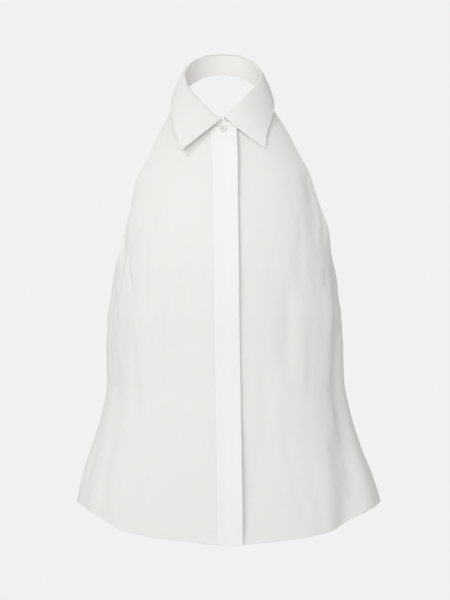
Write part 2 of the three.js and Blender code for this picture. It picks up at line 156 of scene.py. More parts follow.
# %% [markdown]
# ## Folds and creases
# Cloth that hangs from a collar falls in long soft troughs. A simulation would find folds of its
# own, in other places than the photograph's, so the main ones are placed one by one, each with its
# own path, width, depth and end. Smaller creases then break up the plain stretches, and a faint
# waviness of the whole cloth keeps large faces from looking like moulded plastic.

# %% Fold table: top, bottom, three angles, width, depth, and 1 where it runs out at the hem
# Lengths are in mm, and a negative depth is a ridge
LARGE_FOLDS = [
    (-205, -345, -80, -80, -80, 9, 10, 0), (-205, -345, 80, 80, 80, 9, 14, 0),
    (-110, -262, -63, -63, -66, 5, 7, 0), (-80, -215, 60, 53, 47, 7, 4.5, 0),
    (-262, -640, 73, 65.5, 45, 8.5, 10.5, 1), (-320, -640, -69, -59, -48, 7, 3, 1),
    (-225, -430, 58, 59, 60, 7, -3, 0), (-455, -640, -72, -70, -68, 6, 2.5, 1),
    (-250, -435, -30, -29, -28, 3, 2.5, 0), (-215, -395, -15, -15, -15, 4, 1.5, 0),
    (-235, -410, 28.6, 28.6, 28, 5, 2.5, 0), (-330, -570, 15, 15, 15, 4, 1.5, 0),
    (-330, -650, -112, -110, -106, 8, 6, 1), (-360, -650, -137, -136, -133, 9, 5, 1),
    (-300, -650, -163, -161, -160, 8, 6.5, 1), (-350, -650, 176, 178, 180, 9, 5, 1),
    (-310, -650, 154, 152, 149, 8, 6, 1), (-370, -650, 130, 130, 127, 9, 5.5, 1),
    (-330, -650, 107, 108, 104, 7, 6, 1),
]
SMALL_CREASES = [
    (-150, -330, -42, -40, -36, 3, 0.9, 0), (-120, -245, -33, -36, -41, 2.5, 0.8, 0),
    (-300, -470, -48, -46, -42, 2.5, 0.9, 0), (-420, -600, -22, -23, -24, 3, 0.8, 0),
    (-500, -640, -34, -35, -35, 3.5, 1.4, 1), (-470, -640, -55, -55, -56, 3, 1.2, 1),
    (-130, -300, 36, 38, 35, 3, 0.9, 0), (-290, -430, 44, 41, 39, 2.5, 1, 0),
    (-440, -610, 22, 24, 25, 3, 0.9, 0), (-500, -640, 33, 33, 32, 3, 1.3, 1),
    (-455, -640, 53, 47, 40.5, 5.5, 4.6, 1), (-120, -200, -24, -25, -24, 4, 0.6, 0),
    (-255, -330, -72, -66, -60, 3, 1.6, 0), (-262, -350, 73, 66, 60, 3, 1.8, 0),
    (-300, -420, -77, -73, -70, 2.5, 1.3, 0), (-310, -430, 77, 73, 71, 2.5, 1.4, 0),
    (-235, -340, -92, -98, -104, 4, 1.6, 0), (-240, -350, 91, 97, 103, 4, 1.7, 0),
    (-215, -300, -125, -123, -122, 4, 1.1, 0), (-230, -420, 141, 141, 140, 3.5, 1.3, 0),
    (-215, -380, -150, -149, -150, 3.5, 1.2, 0), (-260, -460, 166, 165, 165, 3, 1.1, 0),
    (-480, -650, -122, -122, -121, 4, 1.8, 1), (-500, -650, 118, 118, 119, 4, 1.7, 1),
    (-470, -650, -149, -148, -147, 4, 1.6, 1), (-510, -650, 165, 164, 164, 4, 1.5, 1),
    (-192, -288, -55.5, -55, -46.5, 1.7, 2.2, 0), (-234, -272, 58, 58.5, 57, 2, 2.2, 0),
    (-212, -345, -63, -64, -68, 1.5, 1.6, 0), (-80, -225, 65, 62, 54, 3.5, 2.4, 0),
]
# Short creases across the body: start and end angle, height at both, half height, depth
CROSS_CREASES = [
    (50, 84, -412, -404, 5, 1.8), (56, 82, -300, -322, 6, 1.2), (-86, -58, -398, -410, 6, 1.1),
    (-84, -60, -322, -300, 6, 1), (100, 150, -410, -420, 9, 1.2), (-160, -105, -424, -408, 9, 1.3),
]
FOLD_TAPER = 0.32


def trough(angle, z, fold):
    """How deep a fold lies at each place."""
    top, bottom, at_top, at_middle, at_bottom, width, depth, runs_out = fold
    s = (top - z) / (top - bottom)
    path = mix(mix(at_top, at_middle, clamp01(2 * s)), at_bottom, clamp01(2 * s - 1))
    away = (angle - path + 540) % 360 - 180
    end = 1 if runs_out else smooth((1 - s) / FOLD_TAPER)
    fade = np.where((s > 0) & (s < 1), smooth(s / FOLD_TAPER) * end, 0)
    return depth * fade * np.exp(-((away / width) ** 2))


def cross_trough(angle, z, crease):
    """The same for a crease that runs across the cloth."""
    start, end, z_start, z_end, half_height, depth = crease
    s = (angle - start) / (end - start)
    fade = np.where((s > 0) & (s < 1), smooth(3 * s) * smooth(3 * (1 - s)), 0)
    return depth * fade * np.exp(-(((z - mix(z_start, z_end, s)) / half_height) ** 2))


generator = np.random.default_rng(7)
WAVES = [
    (turns, rise, generator.uniform(0, 2 * math.pi), size)
    for turns, rise, size in [
        (5, 0.011, 0.35), (9, -0.017, 0.3), (14, 0.008, 0.25), (23, 0.031, 0.14),
        (31, -0.052, 0.1), (44, 0.083, 0.07), (57, -0.11, 0.05), (71, 0.14, 0.035),
    ]
]


def waviness(angle, z):
    """A faint unevenness all round, fading out towards the firm neck seam."""
    total = 0
    for turns, rise, start, size in WAVES:
        total = total + size * np.sin(np.radians(angle) * turns + z * rise + start)
    return total * smooth((-z - 60) / 160)


def fold_depth(angle, z):
    folds = sum(trough(angle, z, fold) for fold in LARGE_FOLDS + SMALL_CREASES)
    across = sum(cross_trough(angle, z, crease) for crease in CROSS_CREASES)
    return folds + across + waviness(angle, z)


print(len(LARGE_FOLDS), "long folds and", len(SMALL_CREASES) + len(CROSS_CREASES), "small creases")

# %% [markdown]
# ## Points on the worn form
# Every panel lies on one form: a flattened ellipse at each height. A point is found from its
# angle and its row, and is then pushed in by the folds or out where a layer lies over another.
# With the form in one place, seams that two panels share always meet.

# %% Sections and points


def section_point(angle, z, section, lift=0.0):
    half_width, front, back, centre_y, power = section
    sine, cosine = np.sin(np.radians(angle)), np.cos(np.radians(angle))
    depth = np.where(cosine >= 0, front, back)
    x = half_width * np.sign(sine) * np.abs(sine) ** (2 / power)
    y = -depth * np.sign(cosine) * np.abs(cosine) ** (2 / power)
    across = np.sign(x) * np.abs(x / half_width) ** (power - 1) / half_width
    outward = np.sign(y) * np.abs(y / depth) ** (power - 1) / depth
    push = (lift - fold_depth(angle, z)) / np.hypot(across, outward)
    z = z + 0 * x
    return np.stack([x + across * push + sway["lean"](-z), centre_y + y + outward * push, z], -1)


def torso_section(z):
    return torso["half_width"](-z), torso["front"](-z), torso["back"](-z), 0 * z, TORSO_POWER + 0 * z


def yoke_section(row):
    at = np.minimum(row, UNDERARM_ROW)
    power = yoke["power"](at)
    edge = np.radians(yoke["edge_angle"](at))
    half_width = yoke["edge_x"](at) / np.sin(edge) ** (2 / power)
    rise = yoke["edge_y"](at) - yoke["centre_y"](at)
    front = rise / (1 - np.abs(np.cos(edge)) ** (2 / power))
    return half_width, front, front, yoke["centre_y"](at) + front, power


def edge_angle_at(row):
    return yoke["edge_angle"](np.minimum(row, UNDERARM_ROW))


def row_height(row, share):
    centre, edge = row_heights["centre"](row), row_heights["edge"](row)
    seam_rise = (neck["seam"](90 * share) - neck["seam"](0)) / (neck["seam"](90) - neck["seam"](0))
    upper = mix(smooth(share), seam_rise, clamp01(1 - row / 5))
    lower = clamp01((row - UNDERARM_ROW) / (HEM_ROW - UNDERARM_ROW))
    return mix(centre, edge, mix(upper, hem_rise(share), lower))


def front_point(angle, row, lift=0.0):
    z = row_height(row, clamp01(np.abs(angle) / edge_angle_at(row)))
    low = row >= UNDERARM_ROW
    section = [np.where(low, a, b) for a, b in zip(torso_section(z), yoke_section(row))]
    return section_point(angle, z, section, lift)


def angle_across(x, row):
    """The angle at which a row is x to the side of the closure's middle."""
    depth = -row_heights["centre"](row)
    low = row >= UNDERARM_ROW
    section = yoke_section(row)
    half_width = np.where(low, torso["half_width"](depth), section[0])
    power = np.where(low, TORSO_POWER, section[4])
    away = x + sway["drift"](depth) - sway["drift"](-NECK_CENTRE_Z)
    return np.degrees(np.sign(away) * np.arcsin(np.abs(away / half_width) ** (power / 2)))


HALVINGS = 24


def level_row(x):
    """The row where a line down the front is as low as the neck at the centre."""
    low, high = np.zeros_like(x, float), np.full_like(x, 2, float)
    for _ in range(HALVINGS):
        middle = (low + high) / 2
        share = np.abs(angle_across(x, middle)) / edge_angle_at(middle)
        above = row_height(middle, share) > NECK_CENTRE_Z
        low, high = np.where(above, middle, low), np.where(above, high, middle)
    return low


# %% [markdown]
# ## A sheet of cloth with a real edge
# A sheet could be one layer of faces, but then its edge is as sharp as paper and light falls
# through it strangely. Here each piece has an outer and an inner side. They come together in a
# round edge, and where an edge is turned under and sewn the cloth is thicker, with a shallow
# groove along the stitch line. Extra lines of points near the edges carry that shape.

# %% The sheet maker
MM = 0.001
EDGE_BANDS = np.array([0, 0.12, 0.32, 0.6, 1.1])
TURN = 7.0
STITCH_AT = 5.8
TURNED_BANDS = np.concatenate([EDGE_BANDS, [2.6, 4.4, 5.2, STITCH_AT, 6.4, 7, 7.6, 9.2]])
TURN_FADE = 0.7
TURN_INSIDE = 0.75
TURN_OUTSIDE = 0.12
GROOVE_WIDTH = 0.55
GROOVE_DEPTH = 0.2
PLUMP_AT = 1.6
PLUMP_WIDTH = 1.2
LEAST_INSIDE = 0.04
pieces = {}


def graded(speed_start, speed_end, start_bands, end_bands, count):
    """Shares along a line: fixed distances near both ends, even steps between."""
    start = start_bands[None, :] / speed_start[:, None]
    end = 1 - end_bands[None, ::-1] / speed_end[:, None]
    steps = np.linspace(0, 1, count + 2)[1:-1]
    middle = start[:, -1:] + (end[:, :1] - start[:, -1:]) * steps[None, :]
    return np.concatenate([start, middle, end], 1)


def length_of(surface, across, down):
    """Speeds in mm for a whole share, at the places given."""
    small = 1e-4
    inside_a = np.clip(across, small, 1 - small)
    inside_d = np.clip(down, small, 1 - small)
    along_a = surface(inside_a + small, inside_d) - surface(inside_a - small, inside_d)
    along_d = surface(inside_a, inside_d + small) - surface(inside_a, inside_d - small)
    return along_a / (2 * small), along_d / (2 * small)


def running(points, axis):
    """Distances along the points from the first one, and from the last one back."""
    steps = np.linalg.norm(np.diff(points, axis=axis), axis=2)
    zero = np.zeros_like(np.take(steps, [0], axis=axis))
    first = np.concatenate([zero, np.cumsum(steps, axis=axis)], axis=axis)
    return first, np.take(first, [-1], axis=axis) - first


def make_grid(surface, bands, counts):
    """Shares across and down for every point. bands: left, right, top, bottom."""
    nominal = np.linspace(0, 1, counts[1] + len(bands[2]) + len(bands[3]))
    edge = np.linspace(0, 1, counts[0] + len(bands[0]) + len(bands[1]))
    zero, one = np.zeros_like(nominal), np.ones_like(nominal)
    speeds = [np.linalg.norm(length_of(surface, at, nominal)[0], axis=1) for at in (zero, one)]
    across = graded(speeds[0], speeds[1], bands[0], bands[1], counts[0])
    zero, one = np.zeros_like(edge), np.ones_like(edge)
    speeds = [np.linalg.norm(length_of(surface, edge, at)[1], axis=1) for at in (zero, one)]
    down = graded(speeds[0], speeds[1], bands[2], bands[3], counts[1]).T
    return across, down


def add_mesh(name, points, faces, coordinates=None, smooth_faces=True):
    mesh = bpy.data.meshes.new(name)
    mesh.from_pydata([tuple(p) for p in points], [], [tuple(f) for f in faces])
    if coordinates is not None:
        layer = mesh.uv_layers.new(name="cloth_metres")
        corner = np.array([loop.vertex_index for loop in mesh.loops])
        layer.data.foreach_set("uv", coordinates[corner].astype(np.float32).ravel())
    mesh.polygons.foreach_set("use_smooth", [smooth_faces] * len(mesh.polygons))
    mesh.update()
    piece = bpy.data.objects.new(name, mesh)
    bpy.context.scene.collection.objects.link(piece)
    return piece


def make_sheet(name, surface, across, down, thickness, turned=(0, 0, 0, 0), round_by=None, plump=0.0):
    """A closed sheet. For each edge, left, right, top and bottom: turned says how far it is
    turned under, and round_by how far in it is rounded, in mm."""
    points = surface(across, down)
    along_a, along_d = length_of(surface, across, down)
    normal = np.cross(along_d, along_a)
    normal /= np.linalg.norm(normal, axis=2, keepdims=True)
    left, right = running(points, 1)
    top, bottom = running(points, 0)
    half = thickness / 2
    nearest = np.minimum(np.minimum(left, right), np.minimum(top, bottom))
    round_edge = np.ones_like(nearest)
    for distance, radius in zip((left, right, top, bottom), round_by or (half,) * 4):
        inside = np.clip(distance / radius, LEAST_INSIDE, 1)
        round_edge *= np.sqrt(1 - (1 - inside) ** 2)
    outer = half * np.ones_like(nearest)
    inner = half * np.ones_like(nearest)
    for distance, amount in zip((left, right, top, bottom), turned):
        fold_over = amount * (1 - smooth((distance - TURN) / TURN_FADE))
        groove = amount * np.exp(-(((distance - STITCH_AT) / GROOVE_WIDTH) ** 2))
        inner = np.maximum(inner, half + TURN_INSIDE * fold_over)
        outer = outer + TURN_OUTSIDE * fold_over - GROOVE_DEPTH * groove
    outer = outer + plump * np.exp(-(((nearest - PLUMP_AT) / PLUMP_WIDTH) ** 2))
    sides = [points + normal * (outer * round_edge)[..., None],
             points - normal * (inner * round_edge)[..., None]]
    rows, columns = nearest.shape
    at = np.arange(2 * rows * columns).reshape(2, rows, columns)
    faces = []

    def quads(a, b, c, d):
        faces.append(np.stack([a.ravel(), b.ravel(), c.ravel(), d.ravel()], 1))

    quads(at[0, :-1, :-1], at[0, 1:, :-1], at[0, 1:, 1:], at[0, :-1, 1:])
    quads(at[1, :-1, :-1], at[1, :-1, 1:], at[1, 1:, 1:], at[1, 1:, :-1])
    quads(at[0, 0, :-1], at[0, 0, 1:], at[1, 0, 1:], at[1, 0, :-1])
    quads(at[0, -1, :-1], at[1, -1, :-1], at[1, -1, 1:], at[0, -1, 1:])
    quads(at[0, :-1, 0], at[1, :-1, 0], at[1, 1:, 0], at[0, 1:, 0])
    quads(at[0, :-1, -1], at[0, 1:, -1], at[1, 1:, -1], at[1, :-1, -1])
    one_side = np.stack([left, top], -1).reshape(-1, 2) * MM
    coordinates = np.concatenate([one_side, one_side])
    piece = add_mesh(name, np.concatenate([s.reshape(-1, 3) for s in sides]) * MM,
                     np.concatenate(faces), coordinates)
    cell_down = points[1:, :-1] - points[:-1, :-1]
    cell_across = points[:-1, 1:] - points[:-1, :-1]
    cells = np.linalg.norm(np.cross(cell_down, cell_across), axis=2)
    width = float((left + right)[:, 0].max()) * MM
    length = float((top + bottom)[0].max()) * MM
    pieces[name] = {"piece": piece, "surface": surface, "thickness": thickness,
                    "width": width, "length": length, "area": float(cells.sum()) * MM * MM}
    print(f"{name}: {width:.3f} by {length:.3f} m, {pieces[name]['area']:.4f} square metres,",
          len(piece.data.polygons), "faces")
    return piece


# %% [markdown]
# ## The front panels
# The wearer's left front lies under the closure and runs on a little past the middle. The right
# front ends at the placket, and is lifted so that it lies over the other. Their outer edges are
# the armholes down to the underarm, turned and sewn, and the side seams below.

# %% Front surfaces
SEAM_EASE = 0.03
LAP_SHARE = 0.2
PLACKET_OVERLAP = 0.4
SEAM_GAP = 0.04
UPPER_LIFT = 3.8
LIFT_FADE = 44


def lift_at(x):
    return UPPER_LIFT * (1 - smooth((-x - PLACKET_HALF) / LIFT_FADE))


def left_front_surface(across, down):
    x = np.where(across < LAP_SHARE, mix(-UNDERLAP, PLACKET_HALF, across / LAP_SHARE), PLACKET_HALF)
    top = np.where(x < 0, level_row(x), 0)
    row = mix(top, HEM_ROW, down)
    share = np.maximum(0, (across - LAP_SHARE) / (1 - LAP_SHARE))
    inner, outer = angle_across(x, row), edge_angle_at(row) - SEAM_EASE
    return front_point(mix(inner, outer, share), row)


def right_front_surface(across, down):
    row = mix(0, HEM_ROW, down)
    inner = angle_across(-PLACKET_HALF - PLACKET_OVERLAP - SEAM_GAP + 0 * row, row)
    outer = -edge_angle_at(row) + SEAM_EASE
    angle = mix(outer, inner, across)
    level = front_point(angle, row)
    return front_point(angle, row, lift_at(level[..., 0] - sway["lean"](-level[..., 2])))


PANEL = 0.9
SEWN = 0.25
bands = (TURNED_BANDS, EDGE_BANDS, EDGE_BANDS, TURNED_BANDS)
across, down = make_grid(right_front_surface, bands, (58, 140))
armhole = 1 - smooth((down * HEM_ROW - UNDERARM_ROW + 0.35) / 0.35)
make_sheet("right_front_cloth", right_front_surface, across, down, PANEL, (armhole, 0, 0, 1),
           (PANEL / 2, SEWN, SEWN, PANEL / 2))

bands = (EDGE_BANDS, TURNED_BANDS, EDGE_BANDS, TURNED_BANDS)
across, down = make_grid(left_front_surface, bands, (68, 140))
armhole = 1 - smooth((down * HEM_ROW - UNDERARM_ROW + 0.35) / 0.35)
make_sheet("left_front_cloth", left_front_surface, across, down, PANEL, (0, armhole, 0, 1),
           (PANEL / 2, PANEL / 2, SEWN, PANEL / 2))

# %% [markdown]
# ## The back
# One panel from side seam to side seam. Its top edge is cut low and level under the shoulder
# blades, curving up from the underarms, and its hem dips at the middle.

# %% Back surface


def back_surface(across, down):
    angle = mix(SIDE_SEAM_ANGLE + SEAM_EASE, 360 - SIDE_SEAM_ANGLE - SEAM_EASE, across)
    folded = 180 - np.abs(angle - 180)
    z = mix(back_edges["top"](folded), back_edges["hem"](folded), down)
    section = torso_section(z)
    return section_point(np.where(angle > 180, angle - 360, angle), z, section)


bands = (EDGE_BANDS, EDGE_BANDS, TURNED_BANDS, TURNED_BANDS)
across, down = make_grid(back_surface, bands, (150, 92))
make_sheet("back_cloth", back_surface, across, down, PANEL, (0, 0, 1, 1))

# %% [markdown]
# ## The placket
# The buttons are concealed, so what shows is a plain folded band down the middle. It stands a
# few millimetres off the panel under it, unevenly, which draws the dark line beside it.

# %% Placket surface
PLACKET_LIFT = 4.1
free_edge_lift = curve_through(
    [-624, -590, -543, -520, -495, -430, -340, -300, -262, -230, -165, -110, -80, -60, -46, -37],
    [1.6, 3.4, 5, 5.4, 4.2, 1.2, 0.6, 1.2, 2, 1.8, 1.6, 3, 4.4, 4, 1.2, 0],
)


def placket_surface(across, down):
    x = mix(-PLACKET_HALF - PLACKET_OVERLAP, PLACKET_HALF, across)
    top = np.where(x > 0, level_row(x), 0)
    row = mix(top, HEM_ROW, down)
    free = free_edge_lift(row_heights["centre"](row)) * smooth((across - 0.3) / 0.7)
    return front_point(angle_across(x, row), row, PLACKET_LIFT + free)


bands = (EDGE_BANDS, EDGE_BANDS, EDGE_BANDS, TURNED_BANDS)
across, down = make_grid(placket_surface, bands, (26, 150))
make_sheet("placket_cloth", placket_surface, across, down, 1.5, (0, 0, 0, 0.5),
           (2.6, 0.75, SEWN, 0.6), plump=0.05)

# %% [markdown]
# ## The collar
# A shirt collar is two pieces: the stand, a band that goes round the neck and buttons at the
# front, and the leaf, which is sewn to its top, rolls over and falls to two points. The roll is
# a quarter circle, and from there a curve carries the leaf down to its outer edge, so that it
# stands off the panels and throws a shadow on them.

# %% Stand surface
UNDERLAP_ANGLE = 16
OVERLAP_ANGLE = 19
STAND_START = -UNDERLAP_ANGLE
STAND_END = 360 + OVERLAP_ANGLE
CORNER_DROP = 3


def ring_point(ring, angle, z, lift=0.0):
    half_width, front, back = ring
    sine, cosine = np.sin(np.radians(angle)), np.cos(np.radians(angle))
    depth = np.where(cosine >= 0, front, back)
    out_x, out_y = sine / half_width, -cosine / depth
    long = np.hypot(out_x, out_y)
    x = half_width * sine + sway["lean"](-z) + out_x / long * lift
    return np.stack([x, -depth * cosine + out_y / long * lift, z + 0 * x], -1)


def folded_angle(angle):
    return np.abs((angle + 540) % 360 - 180)


def stand_lift(angle):
    beside = lift_at(np.where(angle > 360, 0, SEAM_RING[0] * np.sin(np.radians(angle))))
    return np.where(angle < 270, 0, beside)


def seam_point(angle):
    lift = stand_lift(angle)
    beyond = np.maximum(0, np.maximum(-angle, angle - 360))
    x = np.sign(angle) * SEAM_RING[0] * np.sin(np.radians(beyond))
    row = level_row(x)
    past = front_point(angle_across(x, row), row, lift)
    round_neck = ring_point(SEAM_RING, angle, neck["seam"](folded_angle(angle)), lift)
    return np.where((beyond > 0)[..., None], past, round_neck)


def stand_top(angle):
    beyond = np.maximum(0, np.maximum(-angle, angle - 360))
    folded = folded_angle(angle)
    full = np.where(angle < 0, neck["right"](0), neck["right"](folded))
    top = ring_point(ROLL_RING, angle, full, stand_lift(angle))
    rounding = CORNER_DROP * (beyond / OVERLAP_ANGLE) ** 2
    height = neck["left"](np.where(beyond > 0, 0, folded)) - rounding
    seam = ring_point(SEAM_RING, angle, neck["seam"](folded), stand_lift(angle))
    share = np.where(angle <= 180, 0, (full - height) / (full - seam[..., 2]))
    return mix(top, seam, share[..., None])


def stand_surface(across, down):
    angle = mix(STAND_START, STAND_END, across)
    seam = seam_point(angle)
    seam[..., 2] += 0.15
    return mix(stand_top(angle), seam, down[..., None])


across, down = make_grid(stand_surface, (EDGE_BANDS,) * 4, (230, 20))
make_sheet("stand_cloth", stand_surface, across, down, 1.3, round_by=(0.65, 0.65, SEWN, SEWN))

# %% Leaf surface
LEAF_BACK = [
    (90, 74, 5, 9, 2, 0, 2), (112, 66, 30, 22, 1.2, 0, 1.6), (135, 50, 49, 37, 0.8, 0, 1.4),
    (158, 28, 60, 48, 0.8, 0, 1.4), (180, 0, 63.5, 53.5, 0.8, 0, 1.4),
]
right_edge = column_curves("angle x y z belly sag roll", [
    (0, 61, -79, -69.5, -2.5, 5, 4.3), (15, 62.6, -72, -50, -2, 2.5, 4.1),
    (32, 68, -57.5, -32, 0.5, 0, 3.2), (50, 73, -39, -13, 2, 0, 2.6), (68, 74.5, -21, 0, 3, 0, 2.3),
] + LEAF_BACK)
left_edge = column_curves("angle x y z belly sag roll", [
    (0, 57.5, -95, -73, 1, 1, 2.9), (15, 63.5, -88, -54, 2, 0.5, 2.9),
    (32, 69.5, -72, -34, 3.5, 0, 2.8), (50, 73, -48, -15, 3.5, 0, 2.6), (68, 75, -22, -2, 3, 0, 2.3),
] + LEAF_BACK)
LEAF_END = 1.5
ROLL_SHARE = 0.12
LEAF_SEAM_GAP = 0.2


def leaf_surface(across, down):
    angle = mix(LEAF_END, 360 - LEAF_END, across)
    folded = folded_angle(angle)
    on_right = angle <= 180
    edge = {}
    for name in right_edge:
        edge[name] = np.where(on_right, right_edge[name](folded), left_edge[name](folded))
    start = stand_top(angle)
    z = start[..., 2]
    outward = ring_point(ROLL_RING, angle, z, 1) - ring_point(ROLL_RING, angle, z)
    turn = math.pi / 2 * clamp01(down / ROLL_SHARE)
    roll = start + outward * (edge["roll"] * (1 - np.cos(turn)))[..., None]
    roll[..., 2] += LEAF_SEAM_GAP + edge["roll"] * np.sin(turn)
    end = np.stack([np.where(on_right, 1, -1) * edge["x"], edge["y"], edge["z"]], -1)
    s = clamp01((down - ROLL_SHARE) / (1 - ROLL_SHARE))[..., None]
    shoulder = roll + outward * (edge["roll"] * 1.3)[..., None]
    belly = (roll + end) / 2 + outward * (edge["belly"] + edge["roll"])[..., None]
    belly[..., 2] -= edge["sag"]
    fall = roll * (1 - s) ** 3 + shoulder * 3 * s * (1 - s) ** 2
    fall = fall + belly * 3 * s * s * (1 - s) + end * s**3
    return np.where((down <= ROLL_SHARE)[..., None], roll, fall)


across, down = make_grid(leaf_surface, (EDGE_BANDS,) * 4, (210, 52))
make_sheet("leaf_cloth", leaf_surface, across, down, 1.1, round_by=(0.55, 0.55, SEWN, 0.55),
           plump=0.12)

# %% [markdown]
# ## Stitches
# A row of stitches could be a line in the colour, but close up it would stay flat. Each stitch is
# a small thread of its own, sunk halfway into the cloth, and all stitches of a row are one piece.
# They follow the same surface as the cloth, at a set distance from its edge.

# %% The stitch maker
STITCH = 2.3
STITCH_PITCH = 2.9
THREAD_RADIUS = 0.17
RING = 6
stitch_rows = {}


def along_edge(surface, edge, inset, start, end):
    """A line of points and normals on a sheet, inset mm from one of its edges."""
    along = np.linspace(start, end, 900)
    zero = np.zeros_like(along)
    places = {
        "left": (zero, along),
        "right": (zero + 1, along),
        "top": (along, zero),
        "bottom": (along, zero + 1),
    }
    a, d = places[edge]
    speeds = length_of(surface, a, d)
    share = inset / np.linalg.norm(speeds[0 if edge in ("left", "right") else 1], axis=1)
    if edge in ("left", "right"):
        a = np.abs(a - share)
    else:
        d = np.abs(d - share)
    points = surface(a, d)
    along_a, along_d = length_of(surface, a, d)
    normal = np.cross(along_d, along_a)
    return points, normal / np.linalg.norm(normal, axis=1, keepdims=True)


def sew(name, points, normals, height, owner):
    """Makes a row of stitches along a line, height mm off it."""
    run = np.concatenate([[0], np.cumsum(np.linalg.norm(np.diff(points, axis=0), axis=1))])
    count = int((run[-1] - STITCH) // STITCH_PITCH)
    first = (run[-1] - count * STITCH_PITCH) / 2
    turn = np.arange(RING) * 2 * math.pi / RING
    profile = [(-0.5, 0.0), (-0.4, 0.7), (0.0, 1.0), (0.4, 0.7), (0.5, 0.0)]
    vertices, faces = [], []

    def at(where, values):
        return np.stack([np.interp(where, run, values[:, i]) for i in range(3)])

    for i in range(count):
        centre = first + (i + 0.5) * STITCH_PITCH - STITCH_PITCH / 2 + STITCH / 2
        direction = at(centre + 0.5, points) - at(centre - 0.5, points)
        direction /= np.linalg.norm(direction)
        up = at(centre, normals)
        up -= direction * up.dot(direction)
        up /= np.linalg.norm(up)
        side = np.cross(direction, up)
        base = len(vertices)
        for along, thick in profile:
            middle = at(centre + along * STITCH, points) + up * (height - 0.12 * (2 * along) ** 2)
            if thick == 0:
                vertices.append(middle)
                continue
            for t in turn:
                vertices.append(middle + (side * math.cos(t) + up * math.sin(t)) * thick * THREAD_RADIUS)
        rings = [base + 1 + k * RING for k in range(3)]
        tip = base + 1 + 3 * RING
        for k in range(RING):
            n = (k + 1) % RING
            faces.append((base, rings[0] + n, rings[0] + k))
            for a, b in zip(rings, rings[1:]):
                faces.append((a + k, a + n, b + n, b + k))
            faces.append((rings[2] + k, rings[2] + n, tip))
    piece = add_mesh(name, np.array(vertices) * MM, faces)
    stitch_rows.setdefault(owner, []).append(piece)
    print(f"{name}: {count} stitches")
    return piece


def sew_edge(name, owner, edge, inset=STITCH_AT, start=0.004, end=0.996, sink=0.03, inner=False):
    sheet = pieces[owner]
    points, normals = along_edge(sheet["surface"], edge, inset, start, end)
    height = sheet["thickness"] / 2 - sink
    if inner:
        normals = -normals
    sew(name, points, normals, height, owner)


# %% Sew the hems, armholes, back edge, placket and stand
hem_sink = 0.1
underarm = UNDERARM_ROW / HEM_ROW
sew_edge("hem_stitch_right", "right_front_cloth", "bottom", sink=hem_sink)
sew_edge("hem_stitch_left", "left_front_cloth", "bottom", sink=hem_sink)
sew_edge("hem_stitch_back", "back_cloth", "bottom", sink=hem_sink)
sew_edge("edge_stitch_back", "back_cloth", "top", sink=hem_sink)
sew_edge("armhole_stitch_right", "right_front_cloth", "left", end=underarm - 0.025, sink=hem_sink)
sew_edge("armhole_stitch_left", "left_front_cloth", "right", end=underarm - 0.025, sink=hem_sink)
sew_edge("placket_stitch", "placket_cloth", "left", inset=3.2, start=0.001, sink=0.04)
sew_edge("stand_stitch_inside", "stand_cloth", "bottom", inset=1.8, sink=0.02, inner=True)
sew_edge("stand_stitch_outside", "stand_cloth", "bottom", inset=1.8, sink=0.02)

# %% [markdown]
# ## Buttons
# A shirt button is turned from a small blank: a raised rim, a dished middle and four holes. It is
# made here as a turned profile with the holes cut through by a boolean, and the thread that holds
# it crosses the middle. The neck button shows. Those of the fly are hidden between the layers.

# %% The button maker


FACE_SHARE = 0.66
HOLE_SPREAD = 0.128
HOLE_RADIUS = 0.8


def turned_blank(diameter, thickness):
    """A closed turned shape, its face towards +Z and its back at 0."""
    radius = diameter / 2
    t = thickness
    profile = [(0, 0), (radius * 0.7, 0), (radius * 0.93, t * 0.18), (radius * 0.99, t * 0.42),
               (radius, t * 0.6), (radius * 0.985, t * 0.82), (radius * 0.93, t * 0.96),
               (radius * 0.86, t), (radius * 0.78, t * 0.96), (radius * 0.7, t * 0.82),
               (radius * 0.6, t * 0.72), (radius * 0.45, t * 0.68), (0, t * FACE_SHARE)]
    sides = 72
    vertices, faces = [(0, 0, 0)], []
    for r, z in profile[1:-1]:
        vertices += [(r * math.cos(2 * math.pi * k / sides), r * math.sin(2 * math.pi * k / sides), z)
                     for k in range(sides)]
    vertices.append((0, 0, profile[-1][1]))
    last = len(vertices) - 1
    rings = len(profile) - 2
    for k in range(sides):
        n = (k + 1) % sides
        faces.append((0, 1 + n, 1 + k))
        for r in range(rings - 1):
            a, b = 1 + r * sides, 1 + (r + 1) * sides
            faces.append((a + k, a + n, b + n, b + k))
        faces.append((1 + (rings - 1) * sides + k, 1 + (rings - 1) * sides + n, last))
    return vertices, faces


def prism(x, y, radius, low, high, sides, vertices, faces):
    base = len(vertices)
    turns = [2 * math.pi * k / sides for k in range(sides)]
    for z in (low, high):
        vertices += [(x + radius * math.cos(turn), y + radius * math.sin(turn), z) for turn in turns]
    faces.append(tuple(base + k for k in reversed(range(sides))))
    faces.append(tuple(base + sides + k for k in range(sides)))
    for k in range(sides):
        n = (k + 1) % sides
        faces.append((base + k, base + n, base + sides + n, base + sides + k))


def thread_loop(start, end, rise, vertices, faces):
    """A strand of thread from one hole to another, bowed over the button's face."""
    steps, sides, radius = 8, 6, 0.28
    base = len(vertices)
    start, end = np.array(start), np.array(end)
    across = np.cross(end - start, (0, 0, 1.0))
    across /= np.linalg.norm(across)
    for i in range(steps + 1):
        s = i / steps
        middle = mix(start, end, s) + np.array([0, 0, rise * math.sin(math.pi * s) ** 0.6])
        for k in range(sides):
            t = 2 * math.pi * k / sides
            above = np.array([0, 0, radius * math.sin(t)])
            vertices.append(tuple(middle + across * radius * math.cos(t) + above))
    for i in range(steps):
        a, b = base + i * sides, base + (i + 1) * sides
        faces += [(a + k, b + k, b + (k + 1) % sides, a + (k + 1) % sides) for k in range(sides)]
    faces.append(tuple(base + k for k in range(sides)))
    faces.append(tuple(base + steps * sides + k for k in reversed(range(sides))))


